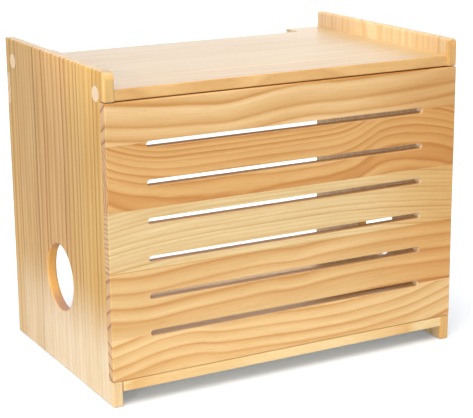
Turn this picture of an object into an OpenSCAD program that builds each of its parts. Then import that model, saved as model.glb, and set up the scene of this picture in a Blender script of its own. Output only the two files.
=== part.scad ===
// Router storage box of edge-glued pine: two notched sides, a top and a bottom board between them,
// a slotted front that drops down on concealed barrel hinges, a stop behind the front's top edge,
// and a rail across the open back.
// Millimetres. The origin is on the floor under the middle, +X is right, the front is at -Y, +Z is up.

/* [Carcass] */
// Overall width across the sides
box_w = 400; // [320:1:520]
// Overall depth from front to back
box_d = 260; // [220:1:340]
// Height of the sides
box_h = 330; // [290:1:420]
// Thickness of every board
board_t = 11; // [10:0.5:13]
// Height of the bottom board's underside above the floor
foot_h = 15.5; // [8:0.5:30]
// Height of the sides above the top board
lip_h = 17.5; // [8:0.5:40]
// How far the sides' lips come down in front, below the top board's underside
lip_drop = 0.5; // [0:0.25:2]
// Distance from the back edge to the bottom board, left open for leads
floor_back_gap = 27; // [0:1:60]
// How far the top board's front edge stands back from the front
top_setback = 2; // [0:0.5:6]

/* [Edges] */
// Rounding of the sides' edges on their outer faces
outer_edge_r = 2.5; // [1:0.5:5]
// Rounding of the sides' edges on their inner faces
inner_edge_r = 2.5; // [0.5:0.5:4]
// Rounding of the sides' upper front corners, seen from the side
side_corner_r = 9; // [1:0.5:12]
// Rounding of the sides' other three corners
foot_tip_r = 2; // [0.5:0.5:8]
// Rounding of the lips' lower corners, above the door
lip_corner_r = 3; // [0.5:0.5:6]
// Rounding of the feet's upper corners, under the door
foot_corner_r = 1.5; // [0.5:0.5:4]
// Rounding of the sides' edges behind the door
notch_edge_r = 1; // [0.25:0.25:2]
// Rounding of the edges of the top board, the bottom board and the door
board_edge_r = 1.5; // [0.5:0.25:3]
// Rounding of the door's bottom edges
door_bottom_r = 0.8; // [0.3:0.1:2]

/* [Top board] */
// Distance from the sides' inner faces to the cable notch
cable_notch_inset = 42; // [40:1:120]
// Depth of the cable notch from the back edge
cable_notch_depth = 27; // [15:1:60]
// Corner radius of the cable notch
cable_notch_r = 3; // [1:0.5:8]

/* [Door] */
// Gap between the door and the bottom board
gap_below = 0.5; // [0.4:0.1:1.5]
// Gap between the door and the lips above it
gap_above = 0.5; // [0.5:0.5:10]
// Gap between the door and the notches behind it
gap_behind = 0.3; // [0.2:0.1:1]
// Height of the stop behind the door's top edge
stop_h = 12; // [8:0.5:20]
// Thickness of the stop
stop_t = 11; // [8:0.5:15]
// Angle that the door opens to
door_open = 95; // [80:1:95]
// Number of ventilation slots
slot_count = 6; // [2:1:7]
// Height of a slot
slot_h = 6; // [5:0.5:12]
// Wood left beyond each end of a slot
slot_end_margin = 42; // [20:1:100]
// Distance from the door's top edge to the highest slot's centre
slot_top_margin = 42.5; // [30:0.5:70]
// Distance from the door's bottom edge to the lowest slot's centre
slot_bottom_margin = 43; // [30:0.5:70]
// Chamfer around a slot
slot_chamfer = 0.6; // [0.2:0.1:1.5]

/* [Cable holes] */
// Diameter of the cable hole in each side
cable_d = 70; // [30:1:100]
// Distance from the back edge to the hole's centre
cable_back = 131; // [70:1:150]
// Height of the hole's centre above the floor
cable_z = 98.5; // [80:0.5:180]
// Rounding of the hole's rims
cable_rim_r = 2; // [0.5:0.25:4]

/* [Back rail] */
// Height of the rail
rail_h = 33; // [20:1:80]
// Distance from the top board down to the rail
rail_drop = 8.5; // [5:0.5:60]
// Rounding of the rail's rear edges and of the notches that hold it
rail_edge_r = 3; // [0.5:0.5:5]
// Distance from the sides' inner faces to the rail screws
rail_screw_in = 4.5; // [4:0.25:6]
// Diameter of a rail screw's shank
rail_screw_d = 3; // [2.5:0.25:3.5]
// Length of a rail screw
rail_screw_len = 30; // [20:1:50]
// Diameter of a rail screw's countersunk head
rail_head_d = 6; // [5.5:0.25:7]
// Height of a rail screw's head
rail_head_h = 1.8; // [1.5:0.1:2.5]
// Depth of the rail screws' heads below the rail's face
rail_head_sink = 0.2; // [0.1:0.05:0.5]

/* [Top fasteners] */
// Distance from the front and back edges to the screws of the top board
screw_inset = 20.5; // [18:0.5:24]
// Diameter of a screw's shank
screw_d = 4; // [3:0.25:5]
// Length of a screw below its head
screw_len = 38; // [30:1:42]
// Length of a screw's point
screw_point = 5; // [3:0.5:8]
// Diameter of a screw's head
screw_head_d = 8; // [7:0.25:9]
// Height of a screw's head
screw_head_h = 2.6; // [2:0.1:3.5]
// Width of the cross recess in a screw's head
drive_w = 0.9; // [0.6:0.1:1.2]
// Span of the cross recess
drive_span = 3.6; // [3:0.1:4.5]
// Depth of the cross recess
drive_depth = 1.1; // [0.6:0.1:1.4]
// Diameter of a cover cap
cap_d = 16; // [12:0.5:18]
// Thickness of a cover cap
cap_t = 3; // [2:0.25:4]
// Chamfer around a cover cap's face
cap_chamfer = 0.4; // [0.1:0.1:1]

/* [Dowels] */
// Diameter of a dowel
dowel_d = 6; // [5:0.5:8]
// Length of a dowel
dowel_len = 28; // [20:1:40]
// Depth of a dowel in the side
dowel_in_side = 7; // [5:0.5:8]
// Chamfer at a dowel's ends
dowel_chamfer = 0.6; // [0.2:0.1:1]
// Room for glue at each end of a dowel
glue_room = 0.5; // [0.2:0.1:1]
// Distance from the front and back edges to the top board's dowels
top_dowel_inset = 80; // [50:1:100]
// Distance from the bottom board's front and back edges to its outer dowels
bottom_dowel_inset = 40; // [25:1:90]

/* [Hinges] */
// Distance from the door's ends to the hinges
hinge_inset = 70; // [45:1:140]
// Diameter of a hinge barrel
barrel_d = 6; // [5.5:0.25:6.5]
// Distance from the front face to the barrels' axes
barrel_back = 6.5; // [6:0.25:6.75]
// Wood left under a lower barrel
barrel_floor = 1.5; // [1:0.25:2.5]
// Solid length of an upper barrel above its slot
barrel_crown = 4; // [2:0.5:10]
// Depth of the hinge pins inside the barrels' mouths
pin_depth = 2; // [1.5:0.1:2.5]
// Diameter of a hinge pin
pin_d = 1; // [0.8:0.1:1.2]
// Distance from a hinge pin's end to the barrel's wall
pin_end = 0.5; // [0.3:0.1:1]
// Width of a hinge link
link_w = 2.2; // [1.8:0.1:2.6]
// Thickness of a hinge link
link_t = 1.6; // [1:0.1:2]

/* [Catch] */
// Distance from the door's top edge to the catches
catch_drop = 14; // [8:0.5:25]
// Diameter of a magnet
magnet_d = 6; // [4:0.5:8]
// Thickness of a magnet
magnet_t = 3; // [2:0.5:6]
// Diameter of a strike disc in the door
strike_d = 7; // [5:0.5:9]
// Thickness of a strike disc
strike_t = 1.5; // [1:0.25:3]

/* [Clearances] */
// Radial clearance of pressed and glued pieces in their holes
press_clearance = 0.02; // [0.01:0.01:0.1]
// Radial clearance around the screws' heads
head_clearance = 0.2; // [0.1:0.05:0.4]
// Radial clearance of the links on their pins
pin_clearance = 0.05; // [0.03:0.01:0.1]
// Clearance around the links in their slots
link_clearance = 0.3; // [0.2:0.05:0.4]

/* [Hidden] */
$fn = 64;

pine = [0.87, 0.69, 0.45];
pale_pine = [0.93, 0.82, 0.64];
birch = [0.95, 0.88, 0.77];
beech = [0.82, 0.66, 0.46];
zinc = [0.72, 0.73, 0.75];
brass = [0.80, 0.64, 0.30];
nickel = [0.62, 0.62, 0.64];

left = -1;
right = 1;
// How far a cut runs past the face that it opens
past = 1;

// Diameters of the holes that hold pressed, glued and screwed pieces
cap_hole_d = cap_d + 2 * press_clearance;
head_hole_d = screw_head_d + 2 * head_clearance;
screw_hole_d = screw_d + 2 * press_clearance;
dowel_hole_d = dowel_d + 2 * press_clearance;
rail_hole_d = rail_screw_d + 2 * press_clearance;
rail_head_hole_d = rail_head_d + 2 * press_clearance;
barrel_hole_d = barrel_d + 2 * press_clearance;
pin_hole_d = pin_d + 2 * press_clearance;
magnet_hole_d = magnet_d + 2 * press_clearance;
strike_hole_d = strike_d + 2 * press_clearance;

// Planes of the carcass
front_y = -box_d / 2;
back_y = box_d / 2;
outer_x = box_w / 2;
inner_x = outer_x - board_t;
side_mid_x = outer_x - board_t / 2;
bottom_z = foot_h;
floor_z = bottom_z + board_t;
floor_back_y = back_y - floor_back_gap;
shelf_z = box_h - lip_h;
top_z = shelf_z - board_t;
lip_z = top_z - lip_drop;

// Door and rail
door_low = floor_z + gap_below;
door_high = lip_z - gap_above;
door_inner_y = front_y + board_t;
notch_y = door_inner_y + gap_behind;
slot_len = box_w - 2 * slot_end_margin;
slot_low_z = door_low + slot_bottom_margin;
slot_pitch = (door_high - slot_top_margin - slot_low_z) / (slot_count - 1);
rail_y = back_y - board_t;
rail_high = top_z - rail_drop;
rail_low = rail_high - rail_h;
rail_mid = (rail_low + rail_high) / 2;
rail_screw_x = inner_x + rail_screw_in;
rail_head_y = back_y - rail_head_sink;

// Rows of fasteners along the depth
front_screw_y = front_y + screw_inset;
rear_screw_y = back_y - screw_inset;
front_top_dowel_y = front_y + top_dowel_inset;
rear_top_dowel_y = back_y - top_dowel_inset;
front_bottom_dowel_y = front_y + bottom_dowel_inset;
rear_bottom_dowel_y = floor_back_y - bottom_dowel_inset;
middle_bottom_dowel_y = (front_bottom_dowel_y + rear_bottom_dowel_y) / 2;
top_mid_z = top_z + board_t / 2;
bottom_mid_z = bottom_z + board_t / 2;
screw_seat_x = outer_x - cap_t - screw_head_h;
screw_tip_x = screw_seat_x - screw_len;

// The hinge line lies in the front face, halfway up the gap under the door. Both pins are equally
// far from it, so a link between them turns half as far as the door.
hinge_x = outer_x - hinge_inset;
barrel_y = front_y + barrel_back;
lower_pin_z = floor_z - pin_depth;
upper_pin_z = door_low + pin_depth;
pin_rise = pin_depth + gap_below / 2;
pin_orbit = sqrt(barrel_back * barrel_back + pin_rise * pin_rise);
reach_shut = 2 * pin_rise;
reach_open = 2 * pin_orbit * sin(atan(pin_rise / barrel_back) + door_open / 2);
link_end_r = link_w / 2;
link_slot_w = link_t + 2 * link_clearance;
upper_slot_h = pin_depth + reach_open - reach_shut + link_end_r + link_clearance;
lower_slot_h = pin_depth + link_end_r + link_clearance;
upper_barrel_h = upper_slot_h + barrel_crown;
lower_barrel_z = bottom_z + barrel_floor;
lower_barrel_h = board_t - barrel_floor;
// How far the opened link leans out in front of a barrel's axis at the barrel's mouth
link_lean = pin_depth * tan(door_open / 2) + link_end_r / cos(door_open / 2) + link_clearance;
catch_z = door_high - catch_drop;

// Extrusions of a flat outline along one axis, from a start for a length
module along_x(start, len) {
    translate([start, 0, 0]) rotate([90, 0, 90]) linear_extrude(len) children();
}

module along_y(start, len) {
    translate([0, start + len, 0]) rotate([90, 0, 0]) linear_extrude(len) children();
}

module along_z(start, len) {
    translate([0, 0, start]) linear_extrude(len) children();
}

// A round bar along X or Y
module bar_x(start, end, y, z, d) {
    translate([start, y, z]) rotate([0, 90, 0]) cylinder(h = end - start, d = d);
}

module bar_y(start, end, x, z, d) {
    translate([x, start, z]) rotate([-90, 0, 0]) cylinder(h = end - start, d = d);
}

// What a round-over takes off a corner; inward points from the corner into the material
module corner_cut(corner, inward, r) {
    centre = corner + r * inward;
    outside = corner - past * inward;
    difference() {
        translate([min(centre.x, outside.x), min(centre.y, outside.y)]) square(r + past);
        translate(centre) circle(r);
    }
}

// A rectangle with its own radius at each corner: low left, low right, high right, high left
module rounded_rect(low, high, radii) {
    difference() {
        translate(low) square(high - low);
        corner_cut(low, [1, 1], radii[0]);
        corner_cut([high.x, low.y], [-1, 1], radii[1]);
        corner_cut(high, [-1, -1], radii[2]);
        corner_cut([low.x, high.y], [1, -1], radii[3]);
    }
}

// The right-hand piece, or its mirror image on the left
module on_hand(hand) {
    if (hand == left) mirror([1, 0, 0]) children();
    else children();
}

// Side panels

// The side seen from the side: a rectangle with a notch for the door and one for the rail
module side_outline() {
    r = foot_tip_r;
    difference() {
        rounded_rect([front_y, 0], [back_y, box_h], [r, r, r, side_corner_r]);
        translate([front_y - past, floor_z]) square([notch_y - front_y + past, lip_z - floor_z]);
        translate([rail_y, rail_low]) square([board_t + past, rail_h]);
        corner_cut([front_y, lip_z], [1, 1], lip_corner_r);
        corner_cut([front_y, floor_z], [1, -1], foot_corner_r);
        corner_cut([back_y, rail_high], [-1, 1], rail_edge_r);
        corner_cut([back_y, rail_low], [-1, -1], rail_edge_r);
    }
}

// The side's blank with round-overs along all its outer edges
module side_blank() {
    radii = [inner_edge_r, outer_edge_r, outer_edge_r, inner_edge_r];
    intersection() {
        along_x(inner_x, board_t) side_outline();
        along_y(front_y, box_d) rounded_rect([inner_x, 0], [outer_x, box_h], radii);
        along_z(0, box_h) rounded_rect([inner_x, front_y], [outer_x, back_y], radii);
    }
}

// The cable hole with rounded rims, around an axis that runs through the board from its inner face
module cable_hole() {
    hole_r = cable_d / 2;
    rim_r = hole_r + cable_rim_r;
    translate([inner_x, back_y - cable_back, cable_z]) rotate([0, 90, 0]) {
        translate([0, 0, -past]) cylinder(h = board_t + 2 * past, r = hole_r);
        rotate_extrude() difference() {
            translate([0, -past]) square([rim_r, cable_rim_r + past]);
            translate([rim_r, cable_rim_r]) circle(cable_rim_r);
        }
        rotate_extrude() difference() {
            translate([0, board_t - cable_rim_r]) square([rim_r, cable_rim_r + past]);
            translate([rim_r, board_t - cable_rim_r]) circle(cable_rim_r);
        }
    }
}

// Stepped hole for a cap, a screw's head and its shank
module capped_screw_hole(y) {
    bar_x(outer_x - cap_t, outer_x + past, y, top_mid_z, cap_hole_d);
    bar_x(screw_seat_x, outer_x, y, top_mid_z, head_hole_d);
    bar_x(inner_x - past, outer_x, y, top_mid_z, screw_hole_d);
}

// Blind hole for the end of a dowel that lies in the side
module dowel_hole_in_side(y, z) {
    bar_x(inner_x - past, inner_x + dowel_in_side + glue_room, y, z, dowel_hole_d);
}

// Round-over of the edge that the door's end stands against
module notch_edge_cut() {
    along_z(floor_z, lip_z - floor_z) corner_cut([outer_x, notch_y], [-1, 1], notch_edge_r);
}

// Round-over of the lip's lower edges
module lip_edge_cut() {
    along_y(front_y - past, notch_y - front_y + past) {
        corner_cut([inner_x, lip_z], [1, 1], inner_edge_r);
        corner_cut([outer_x, lip_z], [-1, 1], outer_edge_r);
    }
}

module side_panel(hand) {
    color(pine) on_hand(hand) difference() {
        side_blank();
        cable_hole();
        notch_edge_cut();
        lip_edge_cut();
        for (y = [front_screw_y, rear_screw_y]) capped_screw_hole(y);
        for (y = [front_top_dowel_y, rear_top_dowel_y]) dowel_hole_in_side(y, top_mid_z);
        for (y = [front_bottom_dowel_y, middle_bottom_dowel_y, rear_bottom_dowel_y])
            dowel_hole_in_side(y, bottom_mid_z);
        bar_y(notch_y - past, notch_y + magnet_t, side_mid_x, catch_z, magnet_hole_d);
        rail_screw_hole();
    }
}

// Boards between the sides

// A board between the sides with rounded edges, from y to rear_y and from height z up
module cross_board(y, rear_y, z) {
    r = board_edge_r;
    along_x(-inner_x, 2 * inner_x) rounded_rect([y, z], [rear_y, z + board_t], [r, r, r, r]);
}

// Blind hole for the length of a dowel that lies in a board
module dowel_hole_in_board(y, z) {
    hole_end = inner_x - (dowel_len - dowel_in_side) - glue_room;
    bar_x(hole_end, inner_x + past, y, z, dowel_hole_d);
}

// The notch's rounded rear corners lie behind the board
module cable_notch() {
    half = inner_x - cable_notch_inset;
    r = cable_notch_r;
    along_z(top_z - past, board_t + 2 * past)
        rounded_rect([-half, back_y - cable_notch_depth], [half, back_y + r + past], [r, r, r, r]);
}

module top_board() {
    color(pale_pine) difference() {
        cross_board(front_y + top_setback, back_y, top_z);
        cable_notch();
        for (hand = [left, right]) on_hand(hand) {
            for (y = [front_screw_y, rear_screw_y])
                bar_x(screw_tip_x - past, inner_x + past, y, top_mid_z, screw_hole_d);
            for (y = [front_top_dowel_y, rear_top_dowel_y]) dowel_hole_in_board(y, top_mid_z);
        }
    }
}

module bottom_board() {
    color(pine) difference() {
        cross_board(front_y, floor_back_y, bottom_z);
        for (hand = [left, right]) on_hand(hand) {
            for (y = [front_bottom_dowel_y, middle_bottom_dowel_y, rear_bottom_dowel_y])
                dowel_hole_in_board(y, bottom_mid_z);
            translate([hinge_x, barrel_y, lower_barrel_z])
                cylinder(h = lower_barrel_h + past, d = barrel_hole_d);
            link_relief(floor_z - pin_depth);
        }
    }
}

// Room in front of a barrel for the opened link, from height z up
module link_relief(z) {
    translate([hinge_x - link_slot_w / 2, barrel_y - link_lean, z])
        cube([link_slot_w, link_lean, pin_depth + past]);
}

// Back rail

module rail_screw_hole() {
    bar_y(rail_head_y - rail_screw_len - past, back_y, rail_screw_x, rail_mid, rail_hole_d);
}

module rail_head_hole() {
    bar_y(rail_head_y, back_y + past, rail_screw_x, rail_mid, rail_head_hole_d);
    translate([rail_screw_x, rail_head_y, rail_mid]) rotate([90, 0, 0])
        cylinder(h = rail_head_h, d1 = rail_head_hole_d, d2 = rail_hole_d);
}

module back_rail() {
    radii = [board_edge_r, rail_edge_r, rail_edge_r, board_edge_r];
    end_radii = [outer_edge_r, outer_edge_r, outer_edge_r, outer_edge_r];
    color(pine) difference() {
        intersection() {
            along_x(-outer_x, box_w) rounded_rect([rail_y, rail_low], [back_y, rail_high], radii);
            along_z(rail_low, rail_h) rounded_rect([-outer_x, front_y], [outer_x, back_y], end_radii);
        }
        for (hand = [left, right]) on_hand(hand) {
            rail_screw_hole();
            rail_head_hole();
        }
    }
}

module rail_screw(hand) {
    color(zinc) on_hand(hand) translate([rail_screw_x, rail_head_y, rail_mid]) rotate([90, 0, 0])
        difference() {
            union() {
                cylinder(h = rail_head_h, d1 = rail_head_d, d2 = rail_screw_d);
                cylinder(h = rail_screw_len - screw_point, d = rail_screw_d);
                translate([0, 0, rail_screw_len - screw_point])
                    cylinder(h = screw_point, d1 = rail_screw_d, d2 = 0);
            }
            drive_recess();
        }
}

// Cross recess that opens at the origin and goes down +Z
module drive_recess() {
    for (turn = [0, 90]) rotate([0, 0, turn])
        translate([-drive_span / 2, -drive_w / 2, -past]) cube([drive_span, drive_w, drive_depth + past]);
}

// Door

// Half the width of a slot across the door's thickness, flared at both faces by its chamfer
function slot_flare(side) = let (r = slot_h / 2, wide = r + slot_chamfer + past) [
    [side * wide, front_y - past],
    [side * r, front_y + slot_chamfer],
    [side * r, door_inner_y - slot_chamfer],
    [side * wide, door_inner_y + past]
];

module slot_cut(z) {
    straight = slot_len - slot_h;
    flare = slot_flare(1);
    far_flare = [for (i = [3 : -1 : 0]) slot_flare(-1)[i]];
    translate([-straight / 2, 0, z]) rotate([0, 90, 0]) linear_extrude(straight)
        polygon(concat(flare, far_flare));
    for (end = [-straight / 2, straight / 2]) translate([end, 0, z]) rotate([-90, 0, 0])
        rotate_extrude() polygon(concat([[0, front_y - past]], flare, [[0, door_inner_y + past]]));
}

module front_door() {
    r = board_edge_r;
    low_r = door_bottom_r;
    color(pine) difference() {
        intersection() {
            along_x(-outer_x, box_w)
                rounded_rect([front_y, door_low], [door_inner_y, door_high], [low_r, low_r, r, r]);
            along_y(front_y, board_t)
                rounded_rect([-outer_x, door_low], [outer_x, door_high], [r, r, r, r]);
            along_z(door_low, door_high - door_low)
                rounded_rect([-outer_x, front_y], [outer_x, door_inner_y], [r, r, r, r]);
        }
        for (i = [0 : slot_count - 1]) slot_cut(slot_low_z + i * slot_pitch);
        for (hand = [left, right]) on_hand(hand) {
            translate([hinge_x, barrel_y, door_low - past])
                cylinder(h = upper_barrel_h + past, d = barrel_hole_d);
            link_relief(door_low - past);
            bar_y(door_inner_y - strike_t, door_inner_y + past, side_mid_x, catch_z, strike_hole_d);
        }
    }
}

// The batten under the top board that the shut door stands against
module door_stop() {
    r = board_edge_r;
    color(pine) along_x(-inner_x, 2 * inner_x)
        rounded_rect([notch_y, top_z - stop_h], [notch_y + stop_t, top_z], [r, r, r, r]);
}

// Fasteners of the top and bottom boards

module cover_cap(hand, y) {
    color(birch) on_hand(hand) translate([outer_x - cap_t, y, top_mid_z]) rotate([0, 90, 0]) {
        cylinder(h = cap_t - cap_chamfer, d = cap_d);
        translate([0, 0, cap_t - cap_chamfer])
            cylinder(h = cap_chamfer, d1 = cap_d, d2 = cap_d - 2 * cap_chamfer);
    }
}

module top_screw(hand, y) {
    color(zinc) on_hand(hand) translate([screw_seat_x + screw_head_h, y, top_mid_z]) rotate([0, -90, 0])
        difference() {
            union() {
                cylinder(h = screw_head_h, d = screw_head_d);
                cylinder(h = screw_head_h + screw_len - screw_point, d = screw_d);
                translate([0, 0, screw_head_h + screw_len - screw_point])
                    cylinder(h = screw_point, d1 = screw_d, d2 = 0);
            }
            drive_recess();
        }
}

module dowel(hand, y, z) {
    tip_d = dowel_d - 2 * dowel_chamfer;
    color(beech) on_hand(hand) translate([inner_x + dowel_in_side - dowel_len, y, z]) rotate([0, 90, 0]) {
        cylinder(h = dowel_chamfer, d1 = tip_d, d2 = dowel_d);
        translate([0, 0, dowel_chamfer]) cylinder(h = dowel_len - 2 * dowel_chamfer, d = dowel_d);
        translate([0, 0, dowel_len - dowel_chamfer]) cylinder(h = dowel_chamfer, d1 = dowel_d, d2 = tip_d);
    }
}

module top_dowel(hand, y) {
    dowel(hand, y, top_mid_z);
}

module bottom_dowel(hand, y) {
    dowel(hand, y, bottom_mid_z);
}

// Hinges

// A barrel standing on height z, with the hole for its pin and a slot for its link
module barrel(z, h, slot_low, slot_high, pin_z) {
    difference() {
        translate([hinge_x, barrel_y, z]) cylinder(h = h, d = barrel_d);
        translate([hinge_x - link_slot_w / 2, barrel_y - barrel_d, slot_low])
            cube([link_slot_w, 2 * barrel_d, slot_high - slot_low]);
        bar_x(hinge_x - barrel_d, hinge_x + barrel_d, barrel_y, pin_z, pin_hole_d);
    }
}

module lower_barrel(hand) {
    color(brass) on_hand(hand)
        barrel(lower_barrel_z, lower_barrel_h, floor_z - lower_slot_h, floor_z + past, lower_pin_z);
}

module upper_barrel(hand) {
    color(brass) on_hand(hand)
        barrel(door_low, upper_barrel_h, door_low - past, door_low + upper_slot_h, upper_pin_z);
}

module hinge_pin(hand, z) {
    half = barrel_d / 2 - pin_end;
    color(nickel) on_hand(hand) bar_x(hinge_x - half, hinge_x + half, barrel_y, z, pin_d);
}

// Outline of a strip with round ends between two heights
module strip(low, high, r) {
    translate([-r, low]) square([2 * r, high - low]);
    for (z = [low, high]) translate([0, z]) circle(r);
}

module hinge_link(hand) {
    hole_r = pin_d / 2 + pin_clearance;
    color(brass) on_hand(hand) translate([0, barrel_y, lower_pin_z])
        along_x(hinge_x - link_t / 2, link_t) difference() {
            strip(0, reach_open, link_end_r);
            circle(hole_r);
            strip(reach_shut - pin_clearance, reach_open, hole_r);
        }
}

// Catch

module magnet(hand) {
    color(nickel) on_hand(hand) bar_y(notch_y, notch_y + magnet_t, side_mid_x, catch_z, magnet_d);
}

module strike(hand) {
    color(zinc) on_hand(hand) bar_y(door_inner_y - strike_t, door_inner_y, side_mid_x, catch_z, strike_d);
}

side_panel(left);  // left_side
side_panel(right);  // right_side
top_board();
bottom_board();
back_rail();
front_door();
door_stop();
cover_cap(left, front_screw_y);  // left_front_cap
cover_cap(left, rear_screw_y);  // left_rear_cap
cover_cap(right, front_screw_y);  // right_front_cap
cover_cap(right, rear_screw_y);  // right_rear_cap
top_screw(left, front_screw_y);  // left_front_screw
top_screw(left, rear_screw_y);  // left_rear_screw
top_screw(right, front_screw_y);  // right_front_screw
top_screw(right, rear_screw_y);  // right_rear_screw
top_dowel(left, front_top_dowel_y);  // left_front_top_dowel
top_dowel(left, rear_top_dowel_y);  // left_rear_top_dowel
top_dowel(right, front_top_dowel_y);  // right_front_top_dowel
top_dowel(right, rear_top_dowel_y);  // right_rear_top_dowel
bottom_dowel(left, front_bottom_dowel_y);  // left_front_bottom_dowel
bottom_dowel(left, middle_bottom_dowel_y);  // left_middle_bottom_dowel
bottom_dowel(left, rear_bottom_dowel_y);  // left_rear_bottom_dowel
bottom_dowel(right, front_bottom_dowel_y);  // right_front_bottom_dowel
bottom_dowel(right, middle_bottom_dowel_y);  // right_middle_bottom_dowel
bottom_dowel(right, rear_bottom_dowel_y);  // right_rear_bottom_dowel
rail_screw(left);  // left_rail_screw
rail_screw(right);  // right_rail_screw
lower_barrel(left);  // left_lower_barrel
lower_barrel(right);  // right_lower_barrel
upper_barrel(left);  // left_upper_barrel
upper_barrel(right);  // right_upper_barrel
hinge_pin(left, lower_pin_z);  // left_lower_pin
hinge_pin(right, lower_pin_z);  // right_lower_pin
hinge_pin(left, upper_pin_z);  // left_upper_pin
hinge_pin(right, upper_pin_z);  // right_upper_pin
hinge_link(left);  // left_hinge_link
hinge_link(right);  // right_hinge_link
magnet(left);  // left_magnet
magnet(right);  // right_magnet
strike(left);  // left_strike
strike(right);  // right_strike
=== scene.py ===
import math

import bmesh
import bpy
from mathutils import Matrix, Vector

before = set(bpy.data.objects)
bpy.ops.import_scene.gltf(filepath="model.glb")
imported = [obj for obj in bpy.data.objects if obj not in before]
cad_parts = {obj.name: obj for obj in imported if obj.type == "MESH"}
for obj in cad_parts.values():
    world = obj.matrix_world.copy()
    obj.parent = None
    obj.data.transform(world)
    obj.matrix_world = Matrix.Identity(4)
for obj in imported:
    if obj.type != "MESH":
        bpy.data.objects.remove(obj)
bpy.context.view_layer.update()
scene = bpy.context.scene


# Helpers

def srgb(code):
    """An sRGB hex colour as linear RGBA."""
    parts = [int(code[i:i + 2], 16) / 255 for i in (1, 3, 5)]
    return tuple(c / 12.92 if c <= 0.04045 else ((c + 0.055) / 1.055) ** 2.4 for c in parts) + (1.0,)


def add(tree, kind, links=(), stops=(), points=(), **settings):
    """Adds one shader node: links are sockets or values for its inputs, stops fill a ramp, points a
    curve. A Mix node's colours are its inputs 6 and 7 and its output 2."""
    made = tree.nodes.new("ShaderNode" + kind)
    for key, value in settings.items():
        # A ramp's settings are on the ramp inside its node
        setattr(getattr(made, "color_ramp", made), key, value)
    for key, value in dict(links).items():
        if isinstance(value, bpy.types.NodeSocket):
            tree.links.new(value, made.inputs[key])
        else:
            made.inputs[key].default_value = value
    for step, (position, colour) in enumerate(stops):
        # A new ramp has two stops already
        ramp = made.color_ramp.elements
        stop = ramp[step] if step < 2 else ramp.new(position)
        stop.position = position
        stop.color = colour
    for point in points[1:-1]:
        made.mapping.curves[0].points.new(*point)
    if points:
        curve = made.mapping.curves[0].points
        curve[0].location = points[0]
        curve[-1].location = points[-1]
        made.mapping.update()
    return made


def new_material(name):
    """An empty material: its tree, its shader, and a point's place on the object in millimetres."""
    material = bpy.data.materials.new(name)
    material.use_nodes = True
    tree = material.node_tree
    place = add(tree, "TexCoord")
    millimetres = add(tree, "Mapping", {"Vector": place.outputs["Object"], "Scale": (1000, 1000, 1000)})
    return material, tree, tree.nodes["Principled BSDF"], millimetres.outputs["Vector"]


def dress(material, *nodes):
    """Puts a material on CAD nodes."""
    for name in nodes:
        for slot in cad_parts[name].material_slots:
            slot.material = material


# Camera, where the photograph was taken from

camera = bpy.data.objects.new("camera", bpy.data.cameras.new("camera"))
scene.collection.objects.link(camera)
camera.data.sensor_fit = "HORIZONTAL"
camera.data.sensor_width = 36
camera.data.lens = 111.83
camera.matrix_world = (Matrix.Translation((-0.72698, -1.3539, 0.55795))
                       @ Matrix.Rotation(math.radians(-28.4917), 4, "Z")
                       @ Matrix.Rotation(math.radians(90 - 15.0972), 4, "X")
                       @ Matrix.Rotation(math.radians(-0.5079), 4, "Z"))
scene.camera = camera


# Pine boards, with sizes in mm

# A ramp holds 0 to 1, so a pith's place and a ring's width are kept in it as shares of these
PITH_SPAN = 1000
RING_SPAN = 100
# A curve holds 0 to 1 too: its rings stray up to half of this to either side
STRAY_SPAN = 80
GLUE_LINE = 0.4
# Holes and slots are at least this far from a board's edges
RIM = 14
# How dark the wood is, by share of a year's growth
YEAR = ((0, 0.6), (0.08, 0.15), (0.2, 0.03), (0.45, 0.2), (0.75, 0.62), (0.92, 1), (1, 0.6))


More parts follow.
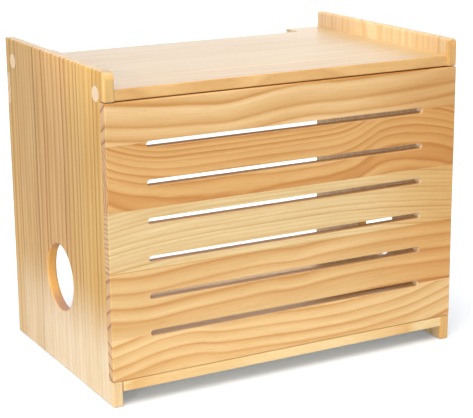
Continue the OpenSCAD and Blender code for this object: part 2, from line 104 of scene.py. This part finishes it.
def edge_glued_pine(name, axes, length, width, staves, contrast=1.0, lines=0.2, lacquer=0.1, painted_floor_light=(),
                    painted_end_shade=(), cut="#E3C69C", marks=0.5, bored_and_lit=(), gloss=0.5):
    """Edge-glued plantation pine, planed, sanded and sprayed with clear satin lacquer. Every stave
    comes from a log of its own, with its own ring width, ring slope and tone. A ring goes from pale
    spring wood through orange to a thin dark line of summer wood and starts again pale. The lacquer
    gives a soft sheen at low angles. Cut ends drank more lacquer, so their rings are darker.

    axes are the board's grain, width and thickness. length and width are its run in mm along the
    first two. A stave is its first mm across the width, its pith across and in thickness, its ring
    width, its spring and summer colours, and its run: how many mm the rings stray across, by share
    of the length. contrast is how far a ring goes towards its summer colour. lines and marks are how
    dark the summer wood ends on faces and on cut ends. For each stave, painted_floor_light is how
    much paler its first end is painted, as light and sheen from the floor, and painted_end_shade is
    the colour of shade painted over its last end. cut is the colour of cut ends, and bored_and_lit
    those of the side and end walls of holes and slots: bare wood with painted light and shade.
    lacquer is the coat's weight on faces, and gloss the bare wood's own shine."""
    material, tree, shader, millimetres = new_material(name)
    spot = add(tree, "SeparateXYZ", {"Vector": millimetres})
    along, over, into = (spot.outputs[axis] for axis in axes)
    firsts, piths_over, piths_into, ring_widths, springs, summers, runs = zip(*staves)

    # The stave that a point is in, with its log and its two colours
    share = add(tree, "MapRange", {"Value": over, "From Min": width[0], "From Max": width[1]})
    share = share.outputs["Result"]
    starts = [(first - width[0]) / (width[1] - width[0]) for first in firsts]
    kept = [(pith_over / PITH_SPAN + 0.5, pith_into / PITH_SPAN + 0.5, ring_width / RING_SPAN, 1)
            for pith_over, pith_into, ring_width in zip(piths_over, piths_into, ring_widths)]
    logs = add(tree, "ValToRGB", {"Fac": share}, interpolation="CONSTANT", stops=zip(starts, kept))
    spring = add(tree, "ValToRGB", {"Fac": share}, interpolation="CONSTANT",
                 stops=zip(starts, map(srgb, springs)))
    summer = add(tree, "ValToRGB", {"Fac": share}, interpolation="CONSTANT",
                 stops=zip(starts, map(srgb, summers)))
    log = add(tree, "VectorMath", {0: logs.outputs["Color"], 1: (PITH_SPAN, PITH_SPAN, RING_SPAN),
                                   2: (-PITH_SPAN / 2, -PITH_SPAN / 2, 0)}, operation="MULTIPLY_ADD")
    log = add(tree, "SeparateXYZ", {"Vector": log.outputs["Vector"]})
    pith = add(tree, "CombineXYZ", {"Y": log.outputs["X"], "Z": log.outputs["Y"]})

    # How the rings stray along the length
    down = add(tree, "MapRange", {"Value": along, "From Min": length[0], "From Max": length[1]})
    down = down.outputs["Result"]
    stray = None
    for first, run in zip(firsts, runs):
        bend = add(tree, "FloatCurve", {"Value": down},
                   points=[(part, 0.5 + stray_mm / STRAY_SPAN) for part, stray_mm in run])
        bend = bend.outputs["Value"]
        if stray:
            past = add(tree, "Math", {0: over, 1: first}, operation="GREATER_THAN")
            bend = add(tree, "Mix", {"Factor": past.outputs[0], "A": stray, "B": bend}).outputs["Result"]
        stray = bend
    stray = add(tree, "Math", {0: stray, 1: -STRAY_SPAN, 2: STRAY_SPAN / 2}, operation="MULTIPLY_ADD")
    moved = add(tree, "Math", {0: over, 1: stray.outputs[0]}, operation="ADD")
    board = add(tree, "CombineXYZ", {"X": along, "Y": moved.outputs[0], "Z": into})
    timber = add(tree, "VectorMath", {0: board.outputs[0], 1: pith.outputs[0]}, operation="SUBTRACT")
    timber = timber.outputs[0]

    # Rings round the pith, with a slow wander of 2 mm, 130 mm long and 30 mm wide, and uneven years
    slow = add(tree, "Mapping", {"Vector": timber, "Scale": (1 / 130, 1 / 30, 1 / 30)})
    drift = add(tree, "TexNoise", {"Vector": slow.outputs[0], "Scale": 1, "Detail": 3})
    drift = add(tree, "Math", {0: drift.outputs["Fac"], 1: 4, 2: -2}, operation="MULTIPLY_ADD")
    section = add(tree, "VectorMath", {0: timber, 1: (0, 1, 1)}, operation="MULTIPLY")
    radius = add(tree, "VectorMath", {0: section.outputs[0]}, operation="LENGTH")
    radius = add(tree, "Math", {0: radius.outputs["Value"], 1: drift.outputs[0]}, operation="ADD")
    years = add(tree, "Math", {0: radius.outputs[0], 1: log.outputs["Z"]}, operation="DIVIDE")
    uneven = add(tree, "TexNoise", {"W": years.outputs[0], "Scale": 0.45, "Detail": 1},
                 noise_dimensions="1D")
    years = add(tree, "Math", {0: uneven.outputs["Fac"], 1: 0.8, 2: years.outputs[0]},
                operation="MULTIPLY_ADD")
    year = add(tree, "Math", {0: years.outputs[0]}, operation="FLOOR")
    season = add(tree, "Math", {0: years.outputs[0]}, operation="FRACT")
    growth = add(tree, "ValToRGB", {"Fac": season.outputs[0]},
                 stops=[(part, (dark, dark, dark, 1)) for part, dark in YEAR])
    vigour = add(tree, "TexWhiteNoise", {"W": year.outputs[0]}, noise_dimensions="1D")
    vigour = add(tree, "MapRange", {"Value": vigour.outputs["Value"],
                                    "To Min": 0.35 * contrast, "To Max": contrast})
    ring = add(tree, "Math", {0: growth.outputs["Color"], 1: vigour.outputs["Result"]},
               operation="MULTIPLY").outputs[0]

    # Fibres 0.7 by 45 mm, resin canals 0.4 by 4 mm, streaks 14 by 130 mm, and glue lines
    thin = add(tree, "Mapping", {"Vector": timber, "Scale": (1 / 45, 1 / 0.7, 1 / 0.7)})
    fibre = add(tree, "TexNoise", {"Vector": thin.outputs[0], "Scale": 1, "Detail": 3, "Roughness": 0.6})
    fibre = fibre.outputs["Fac"]
    short = add(tree, "Mapping", {"Vector": timber, "Scale": (1 / 22, 1 / 2.2, 1 / 2.2)})
    canal = add(tree, "TexVoronoi", {"Vector": short.outputs[0], "Scale": 1})
    broad = add(tree, "Mapping", {"Vector": timber, "Scale": (1 / 130, 1 / 14, 1 / 14)})
    streak = add(tree, "TexNoise", {"Vector": broad.outputs[0], "Scale": 1, "Detail": 3,
                                    "Roughness": 0.6})
    shade = add(tree, "MapRange", {"Value": fibre, "From Min": 0.3, "From Max": 0.7,
                                   "To Min": 0.93, "To Max": 1.06})
    fleck = add(tree, "MapRange", {"Value": canal.outputs["Distance"], "From Min": 0.1, "From Max": 0.2,
                                   "To Min": 0.88, "To Max": 1})
    patch = add(tree, "MapRange", {"Value": streak.outputs["Fac"], "From Min": 0.3, "From Max": 0.7,
                                   "To Min": 0.9, "To Max": 1.1})
    half_line = GLUE_LINE / 2 / (width[1] - width[0])
    glue = add(tree, "ValToRGB", {"Fac": share}, interpolation="CONSTANT",
               stops=[(0, (1, 1, 1, 1))] + [(start + side * half_line, (tone, tone, tone, 1))
                                            for start in starts[1:]
                                            for side, tone in ((-1, 0.8), (1, 1))])
    for other in (fleck.outputs["Result"], patch.outputs["Result"], glue.outputs["Color"]):
        shade = add(tree, "Math", {0: shade.outputs[0], 1: other}, operation="MULTIPLY")

    # Cut ends, and the walls of holes and slots
    facing = add(tree, "SeparateXYZ", {"Vector": add(tree, "TexCoord").outputs["Normal"]})
    end = add(tree, "Math", {0: facing.outputs[axes[0]]}, operation="ABSOLUTE")
    end = add(tree, "MapRange", {"Value": end.outputs[0], "From Min": 0.55, "From Max": 0.95})
    end = end.outputs["Result"]
    if bored_and_lit:
        wall = add(tree, "Math", {0: facing.outputs[axes[2]]}, operation="ABSOLUTE")
        wall = add(tree, "MapRange", {"Value": wall.outputs[0], "From Min": 0.4, "From Max": 0.95,
                                      "To Min": 0.95, "To Max": 0}).outputs["Result"]
        for value, (low, high) in ((along, length), (over, width)):
            within = add(tree, "Math", {0: value, 1: (low + high) / 2, 2: (high - low) / 2 - RIM},
                         operation="COMPARE")
            wall = add(tree, "Math", {0: wall, 1: within.outputs[0]}, operation="MULTIPLY").outputs[0]
        # Walls of holes and slots: bare wood with painted light and shade: pale lit ends of the door's
        # slots, and in the side boards' holes orange lit sides with shaded ends
        sawn_and_lit = add(tree, "Mix", {0: end, 6: srgb(bored_and_lit[0]), 7: srgb(bored_and_lit[1])}, data_type="RGBA")
        # A bored wall isn't a cut end as well
        end = add(tree, "Math", {0: wall, 1: -1.25, 2: end}, operation="MULTIPLY_ADD",
                  use_clamp=True).outputs[0]

    # Colour: the ring, then painted shade at the last end, cut ends, summer lines, painted floor light
    # at the first end, and the walls of holes and slots, with their painted light, over it
    wood = add(tree, "Mix", {0: ring, 6: spring.outputs["Color"], 7: summer.outputs["Color"]},
               data_type="RGBA")
    # Painted shade: the last end grows darker, as if less light reached it
    if painted_end_shade:
        end_shade = add(tree, "ValToRGB", {"Fac": share}, interpolation="CONSTANT",
                    stops=zip(starts, map(srgb, painted_end_shade)))
        last = add(tree, "MapRange", {"Value": down, "From Min": 0.6, "From Max": 1},
                   interpolation_type="SMOOTHSTEP")
        wood = add(tree, "Mix", {0: last.outputs["Result"], 6: wood.outputs[2],
                                 7: end_shade.outputs["Color"]}, data_type="RGBA", blend_type="MULTIPLY")
    soaked = add(tree, "Math", {0: end, 1: 0.6}, operation="MULTIPLY")
    wood = add(tree, "Mix", {0: soaked.outputs[0], 6: wood.outputs[2], 7: srgb(cut)}, data_type="RGBA")
    late = add(tree, "Mix", {"Factor": end, "A": ring, "B": growth.outputs["Color"]})
    late = add(tree, "MapRange", {"Value": late.outputs["Result"], "From Min": 0.5, "From Max": 0.95})
    depth = add(tree, "MapRange", {"Value": end, "To Min": lines, "To Max": marks})
    line = add(tree, "Math", {0: late.outputs["Result"], 1: depth.outputs["Result"]},
               operation="MULTIPLY")
    wood = add(tree, "Mix", {0: line.outputs[0], 6: wood.outputs[2], 7: srgb("#C28F52")},
               data_type="RGBA", blend_type="MULTIPLY")
    # Painted floor light: the first end is painted paler, as light and sheen from the floor
    if painted_floor_light:
        most = add(tree, "ValToRGB", {"Fac": share}, interpolation="CONSTANT",
                   stops=[(start, (pale, pale, pale, 1)) for start, pale in zip(starts, painted_floor_light)])
        floor_light = add(tree, "MapRange", {"Value": down, "From Min": 0.12, "From Max": 0.36,
                                       "To Min": 1, "To Max": 0}, interpolation_type="SMOOTHSTEP")
        floor_light = add(tree, "Math", {0: most.outputs["Color"], 1: floor_light.outputs["Result"]},
                    operation="MULTIPLY")
        wood = add(tree, "Mix", {0: floor_light.outputs[0], 6: wood.outputs[2], 7: srgb("#EEDDC0")},
                   data_type="RGBA")
    # Painted light and shade on the walls of holes and slots
    if bored_and_lit:
        wood = add(tree, "Mix", {0: wall, 6: wood.outputs[2], 7: sawn_and_lit.outputs[2]}, data_type="RGBA")
    # Darker streaks hold more resin, which takes out more blue than red
    shade = add(tree, "VectorMath", {0: shade.outputs[0], 1: (0.6, 1, 1.8), 2: (0.4, 0, -0.8)},
                operation="MULTIPLY_ADD")
    wood = add(tree, "VectorMath", {0: wood.outputs[2], 1: shade.outputs[0]}, operation="MULTIPLY")
    tree.links.new(wood.outputs[0], shader.inputs["Base Color"])

    # Summer wood takes a better polish, cut ends have more lacquer, and the fibres stand up a little
    polish = add(tree, "MapRange", {"Value": ring, "To Min": 0.52, "To Max": 0.44})
    coats = add(tree, "MapRange", {"Value": end, "To Min": lacquer, "To Max": 0.3})
    relief = add(tree, "Math", {0: fibre, 1: 0.6, 2: ring}, operation="MULTIPLY_ADD")
    bump = add(tree, "Bump", {"Height": relief.outputs[0], "Strength": 0.35, "Distance": 0.0001})
    tree.links.new(polish.outputs["Result"], shader.inputs["Roughness"])
    tree.links.new(coats.outputs["Result"], shader.inputs["Coat Weight"])
    tree.links.new(bump.outputs["Normal"], shader.inputs["Normal"])
    shader.inputs["IOR"].default_value = 1.4
    shader.inputs["Specular IOR Level"].default_value = gloss
    shader.inputs["Coat Roughness"].default_value = 0.32
    return material


# The door is painted darker towards its right end: painted shade
dress(edge_glued_pine("door pine", "XZY", (-200, 200), (27, 300.5), [
    (27, -35, -80, 10.5, "#E3BF86", "#CC8F42",
     [(0, 0), (0.055, 4.4), (0.14, 10.6), (0.22, 11.4), (0.3, 7), (0.44, 4.8), (0.55, 2.2),
      (0.66, 1.8), (0.77, 4.4), (0.85, 7.7), (0.93, 14.3), (1, 22)]),
    (69, -1, -190, 14, "#DBB57B", "#C4863C",
     [(0, -1), (0.1, -4), (0.2, -1.5), (0.35, 1.5), (0.44, 2.5), (0.5, 1), (0.6, 3.5), (0.75, 5.5),
      (0.85, 5), (1, 3)]),
    (135, 445, -120, 4.8, "#DCC08C", "#CDA464",
     [(0, -9), (0.11, -3.5), (0.22, -0.5), (0.4, 0), (0.6, 0), (0.7, -1), (0.85, -6), (1, -13)]),
    (195.5, 196, -92.2, 4.5, "#D7A867", "#BF7A2E",
     [(0, 16), (0.055, 8), (0.11, 3), (0.165, 0.5), (0.3, 0), (0.55, 0), (0.63, 1), (0.68, 5),
      (0.73, 13), (0.78, 20), (0.83, 21), (0.9, 18), (1, 8)]),
    (259.5, 359, -70, 13, "#E2BC84", "#CA9046",
     [(0, 0), (0.11, -4.6), (0.22, -6.8), (0.32, -8.6), (0.385, -6), (0.456, -2), (0.55, 1),
      (0.66, 0), (0.8, 1), (1, 6)]),
], painted_end_shade=("#FFFFFF", "#FBEACE", "#F8E3C2", "#F6E8CD", "#EFE0C9"), cut="#C29360", marks=0.9,
    bored_and_lit=("#D8B27E", "#FFE9C4")), "front_door")

# The first strip of the sides and the top board is their front edge, coloured apart from the rest to
# paint the light on it: paler on the left side, more orange on the right side and the top board
# The left side is painted paler towards its foot: painted light and sheen from the floor
dress(edge_glued_pine("left side pine", "ZYX", (0, 330), (-130, 130), [
    (-130, -330, -230, 9.0, "#E3BE7E", "#C29350", [(0, 0), (0.5, 1), (1, -1)]),
    (-126.5, -330, -230, 9.0, "#D6AC66", "#B88238", [(0, 0), (0.5, 1), (1, -1)]),
    (-81, 250, -150, 8.5, "#D4AC6C", "#B2803A", [(0, 1), (0.4, 0), (1, 1)]),
    (-38, -305, -190, 11.0, "#D1A76E", "#A8702C", [(0, -2), (0.45, 1), (0.7, -1), (1, 2)]),
    (42, 420, -210, 8.5, "#D0A970", "#AE8044", [(0, 1), (0.5, -1), (1, 1)]),
    (105, -200, -170, 9.0, "#D5AC6C", "#B28549", [(0, 0), (0.6, 1), (1, 0)]),
# The left side's pale cream cut colour is its end grain with painted sheen over its top edge
], contrast=1.1, lines=0.5, lacquer=0, painted_floor_light=(0.35, 0.7, 0.68, 0.66, 0.45, 0.2), cut="#E4D8C0",
    bored_and_lit=("#EBB76C", "#B88F78"), gloss=0.18), "left_side")

dress(edge_glued_pine("right side pine", "ZYX", (0, 330), (-130, 130), [
    (-130, -280, 240, 5.0, "#DEAE6A", "#BF8A44", [(0, 0), (0.5, -1), (1, 1)]),
    (-126.5, -280, 240, 9.0, "#DEC092", "#CE9D5E", [(0, 0), (0.5, -1), (1, 1)]),
    (-72, 300, 160, 10.0, "#DDBF94", "#CCA16A", [(0, 1), (0.4, 0), (1, -1)]),
    (-8, -10, 270, 8.5, "#DEC094", "#CB985C", [(0, -6), (0.35, 2), (0.7, -2), (1, 5)]),
    (55, 380, 215, 9.0, "#DBBC92", "#CBA06E", [(0, 1), (0.5, -1), (1, 1)]),
], contrast=0.8, bored_and_lit=("#E2AA58", "#D2A070")), "right_side")

dress(edge_glued_pine("top board pine", "XYZ", (-189, 189), (-130, 130), [
    (-130, 90, 270, 6.0, "#E2B46E", "#C28538", [(0, -4), (0.3, 3), (0.5, -3), (0.75, 2), (1, -2)]),
    (-126.5, -95, 350, 7.0, "#D4B788", "#C19A5F", [(0, -4), (0.3, 2), (0.6, -1), (1, 5)]),
    (-64, 320, 300, 5.5, "#CDB48B", "#BE9B64", [(0, 0), (0.5, 2), (1, -1)]),
    (2, -260, 330, 8.0, "#CBB084", "#BA955F", [(0, 2), (0.5, -2), (1, 1)]),
    (66, 130, 260, 6.0, "#CDB58E", "#BD9A65", [(0, 5), (0.4, -3), (0.7, 0), (1, 4)]),
], contrast=0.7, lacquer=0.9), "top_board")

dress(edge_glued_pine("bottom board pine", "XYZ", (-189, 189), (-130, 130), [
    (-130, 220, 40, 6.0, "#E8CB94", "#DAA75F", [(0, 3), (0.5, -2), (1, 4)]),
    (-58, -60, 75, 7.5, "#DFBC84", "#CA914A", [(0, -8), (0.4, 3), (1, -5)]),
    (12, -310, 10, 5.0, "#E0BF88", "#CD9C5A", [(0, 1), (0.5, 0), (1, -2)]),
], contrast=0.8), "bottom_board")

dress(edge_glued_pine("rail pine", "XZY", (-200, 200), (240, 310), [
    (240, 330, 200, 5.5, "#DAB57A", "#C48944", [(0, 3), (0.4, -3), (0.7, 1), (1, -4)]),
]), "back_rail")

dress(edge_glued_pine("stop pine", "XZY", (-200, 200), (280, 310), [
    (280, 420, -60, 4.5, "#D9B67E", "#C6914E", [(0, 1), (0.5, -1), (1, 2)]),
]), "door_stop")


# Plugs and dowels

def close_grained_wood(name, pale, deep, grain, polish):
    """Birch and beech, turned or cut with a plug cutter and sanded. The pores are too small to see, so
    the eye gets even wood with faint streaks along the grain and short flecks, plainest on beech."""
    material, tree, shader, millimetres = new_material(name)
    # Streaks 0.5 by 12 mm and flecks 0.4 by 2 mm, in cells 0.9 by 4 mm
    long = [1 / 12 if axis == grain else 1 / 0.5 for axis in "XYZ"]
    short = [1 / 4 if axis == grain else 1 / 0.9 for axis in "XYZ"]
    streak = add(tree, "Mapping", {"Vector": millimetres, "Scale": long})
    streak = add(tree, "TexNoise", {"Vector": streak.outputs[0], "Scale": 1, "Detail": 3}).outputs["Fac"]
    fleck = add(tree, "Mapping", {"Vector": millimetres, "Scale": short})
    fleck = add(tree, "TexVoronoi", {"Vector": fleck.outputs[0], "Scale": 1})
    fleck = add(tree, "MapRange", {"Value": fleck.outputs["Distance"], "From Min": 0.1, "From Max": 0.3,
                                   "To Min": 1, "To Max": 0})
    mixed = add(tree, "Math", {0: fleck.outputs["Result"], 1: 0.35, 2: streak}, operation="MULTIPLY_ADD")
    wood = add(tree, "Mix", {0: mixed.outputs[0], 6: srgb(pale), 7: srgb(deep)}, data_type="RGBA")
    rough = add(tree, "MapRange", {"Value": streak, "To Min": polish - 0.06, "To Max": polish + 0.06})
    bump = add(tree, "Bump", {"Height": mixed.outputs[0], "Strength": 0.3, "Distance": 0.0001})
    tree.links.new(wood.outputs[2], shader.inputs["Base Color"])
    tree.links.new(rough.outputs["Result"], shader.inputs["Roughness"])
    tree.links.new(bump.outputs["Normal"], shader.inputs["Normal"])
    shader.inputs["IOR"].default_value = 1.45
    return material


dress(close_grained_wood("birch plug", "#E6CDAE", "#DABC98", "Z", 0.5),
      "left_front_cap", "right_front_cap")
dress(close_grained_wood("pale birch plug", "#EFD5B2", "#E1C096", "Z", 0.5),
      "left_rear_cap", "right_rear_cap")
dress(close_grained_wood("beech dowel", "#DDB78A", "#B98A5C", "X", 0.65),
      *(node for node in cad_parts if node.endswith("_dowel")))


# Fittings

def tooled_metal(name, bright, dull, axis, spacing, polish):
    """Small metal fittings with the marks of the tool that made them: fine lines across one axis,
    which spread the highlight, and faint cloudy stains of handling. spacing is the lines' distance in
    mm, drawn coarser than real so that it shows."""
    material, tree, shader, millimetres = new_material(name)
    spot = add(tree, "SeparateXYZ", {"Vector": millimetres})
    marks = add(tree, "TexNoise", {"W": spot.outputs[axis], "Scale": 1 / spacing, "Detail": 2},
                noise_dimensions="1D").outputs["Fac"]
    # Stains 2 mm wide
    stain = add(tree, "TexNoise", {"Vector": millimetres, "Scale": 1 / 2, "Detail": 3}).outputs["Fac"]
    worn = add(tree, "Math", {0: marks, 1: 0.5, 2: stain}, operation="MULTIPLY_ADD")
    tone = add(tree, "MapRange", {"Value": worn.outputs[0], "From Min": 0.5, "From Max": 1})
    metal = add(tree, "Mix", {0: tone.outputs["Result"], 6: srgb(bright), 7: srgb(dull)},
                data_type="RGBA")
    rough = add(tree, "MapRange", {"Value": worn.outputs[0], "From Min": 0.4, "From Max": 1.1,
                                   "To Min": polish - 0.08, "To Max": polish + 0.1})
    bump = add(tree, "Bump", {"Height": marks, "Strength": 0.2, "Distance": 0.00005})
    tree.links.new(metal.outputs[2], shader.inputs["Base Color"])
    tree.links.new(rough.outputs["Result"], shader.inputs["Roughness"])
    tree.links.new(bump.outputs["Normal"], shader.inputs["Normal"])
    shader.inputs["Metallic"].default_value = 1
    return material


# Rolled and zinc plated: bluish, a little cloudy
dress(tooled_metal("zinc plated steel", "#CBCFD6", "#A6ABB4", "X", 0.4, 0.36),
      *(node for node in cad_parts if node.endswith(("_screw", "_strike"))))
# Centreless ground: plain grey with fine rings
dress(tooled_metal("ground steel", "#BDBDC0", "#98989C", "X", 0.3, 0.28),
      *(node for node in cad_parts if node.endswith("_pin")))
# Turned from bar: warm yellow with rings
dress(tooled_metal("turned brass", "#E0BE6C", "#B68E3E", "Z", 0.3, 0.3),
      *(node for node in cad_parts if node.endswith(("_barrel", "_link"))))
# Nickel plated: warm grey and nearly a mirror
dress(tooled_metal("nickel plate", "#CFCAC0", "#ABA69B", "Y", 0.5, 0.2), "left_magnet", "right_magnet")


# Floor and light

# Metres, from the middle to each side
FLOOR_REACH = 9
table_mesh = bpy.data.meshes.new("table")
grid = bmesh.new()
bmesh.ops.create_grid(grid, x_segments=1, y_segments=1, size=FLOOR_REACH)
grid.to_mesh(table_mesh)
grid.free()
table = bpy.data.objects.new("table", table_mesh)
scene.collection.objects.link(table)

# Matt white light table, a little lit from below: no shine, and hardly a grain, 2 mm, in its surface
white, tree, shader, millimetres = new_material("matt white light table")
tooth = add(tree, "TexNoise", {"Vector": millimetres, "Scale": 1 / 2, "Detail": 2})
tone = add(tree, "Mix", {0: tooth.outputs["Fac"], 6: srgb("#EEF4FC"), 7: srgb("#F1F6FE")},
           data_type="RGBA")
tree.links.new(tone.outputs[2], shader.inputs["Base Color"])
shader.inputs["Roughness"].default_value = 0.9
shader.inputs["Specular IOR Level"].default_value = 0
shader.inputs["Emission Color"].default_value = srgb("#A9D4FF")
shader.inputs["Emission Strength"].default_value = 0.14
table_mesh.materials.append(white)

world = bpy.data.worlds.new("studio")
world.use_nodes = True
world.node_tree.nodes["Background"].inputs["Color"].default_value = srgb("#DCE9FF")
world.node_tree.nodes["Background"].inputs["Strength"].default_value = 0.34
scene.world = world


def shine(name, kind, place, target, energy, colour, **settings):
    """Adds a studio light at place that points at target."""
    data = bpy.data.lights.new(name, kind)
    data.energy = energy
    data.color = srgb(colour)[:3]
    for key, value in settings.items():
        setattr(data, key, value)
    light = bpy.data.objects.new(name, data)
    light.location = place
    light.rotation_euler = (Vector(place) - Vector(target)).to_track_quat("Z", "Y").to_euler()
    light.visible_camera = False
    scene.collection.objects.link(light)


shine("key softbox", "SUN", (-0.5, -0.5, 1.6), (0, 0, 0), 2.9, "#FFF3DF", angle=math.radians(55))
shine("front spot", "SPOT", (-1.2, -2.6, 0.8), (-0.12, -0.13, 0.225), 178, "#FFFFFF",
      spot_size=math.radians(14), spot_blend=1, shadow_soft_size=0.4)
shine("low left card", "SPOT", (-1.6, -1.3, 0.5), (-0.2, -0.13, 0), 50, "#F4F8FF",
      spot_size=math.radians(20), spot_blend=1, shadow_soft_size=0.3)
shine("lip light", "SPOT", (-1.3, -0.2, 0.75), (0.19, -0.01, 0.322), 80, "#FFFFFF",
      spot_size=math.radians(12), spot_blend=1, shadow_soft_size=0.1)
shine("back panel", "AREA", (1.4, 2.65, 1.1), (0, 0, 0.3), 20.5, "#FFFFFF",
      shape="RECTANGLE", size=4, size_y=1.6)
shine("backdrop spot", "SPOT", (0.95, 1.4, 1.5), (0.24, 0.45, 0), 112, "#FFF4E6",
      spot_size=math.radians(28.8), spot_blend=1, shadow_soft_size=0.2)

scene.view_settings.view_transform = "Standard"
